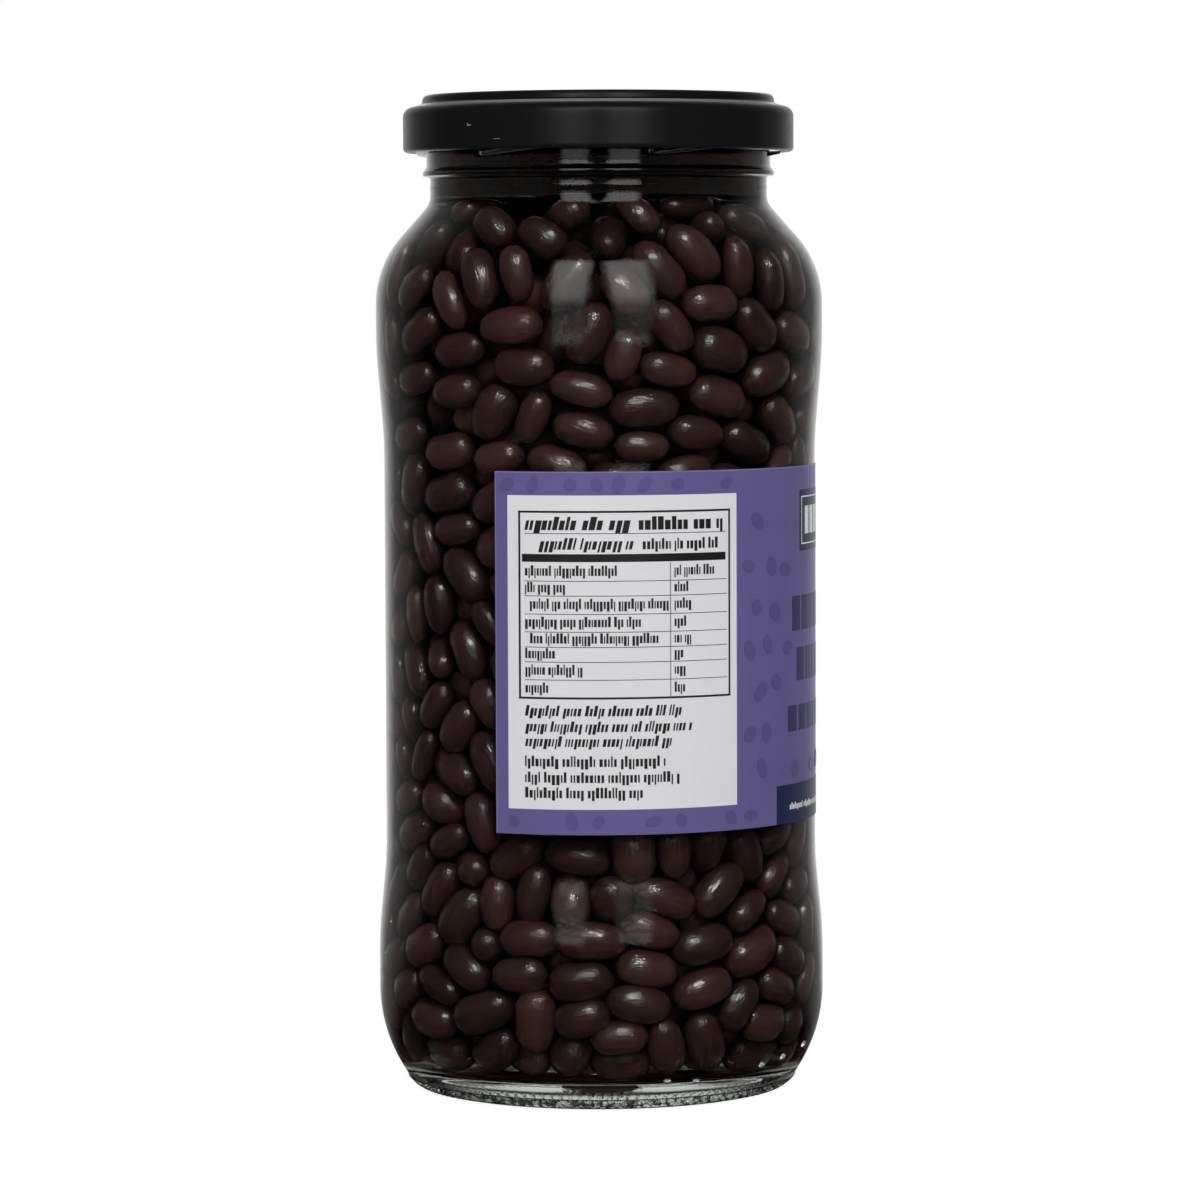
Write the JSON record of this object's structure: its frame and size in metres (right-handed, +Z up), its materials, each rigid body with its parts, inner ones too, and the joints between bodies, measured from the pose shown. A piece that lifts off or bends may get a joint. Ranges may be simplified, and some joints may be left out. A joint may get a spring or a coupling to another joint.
{
  "type": "glass jar of black beans in brine with a twist-off lid",
  "caption": "Shut glass preserving jar of cooked black beans in dark brine, with a black twist-off metal lid, sealing ring and wrap-around paper label.",
  "frame": {"origin": "centre of the jar's foot, on the surface that it stands on", "axes": "+Z up along the jar's axis, -Y towards the front, +X to the right of it"},
  "size_m": [0.0762, 0.0762, 0.1691],
  "materials": {
    "glass": "clear moulded soda-lime glass",
    "lid": "satin black lacquered tinplate",
    "seal": "pale grey sealing compound",
    "beans": "smooth wet dark brown bean skins",
    "brine": "dark brown cooking brine",
    "label": "coated paper printed purple"
  },
  "bodies": {
    "root": {"jar_glass": "glass", "lid": "lid", "lid_seal": "seal", "beans": "beans", "brine": "brine", "label": "label"}
  },
  "joints": []
}
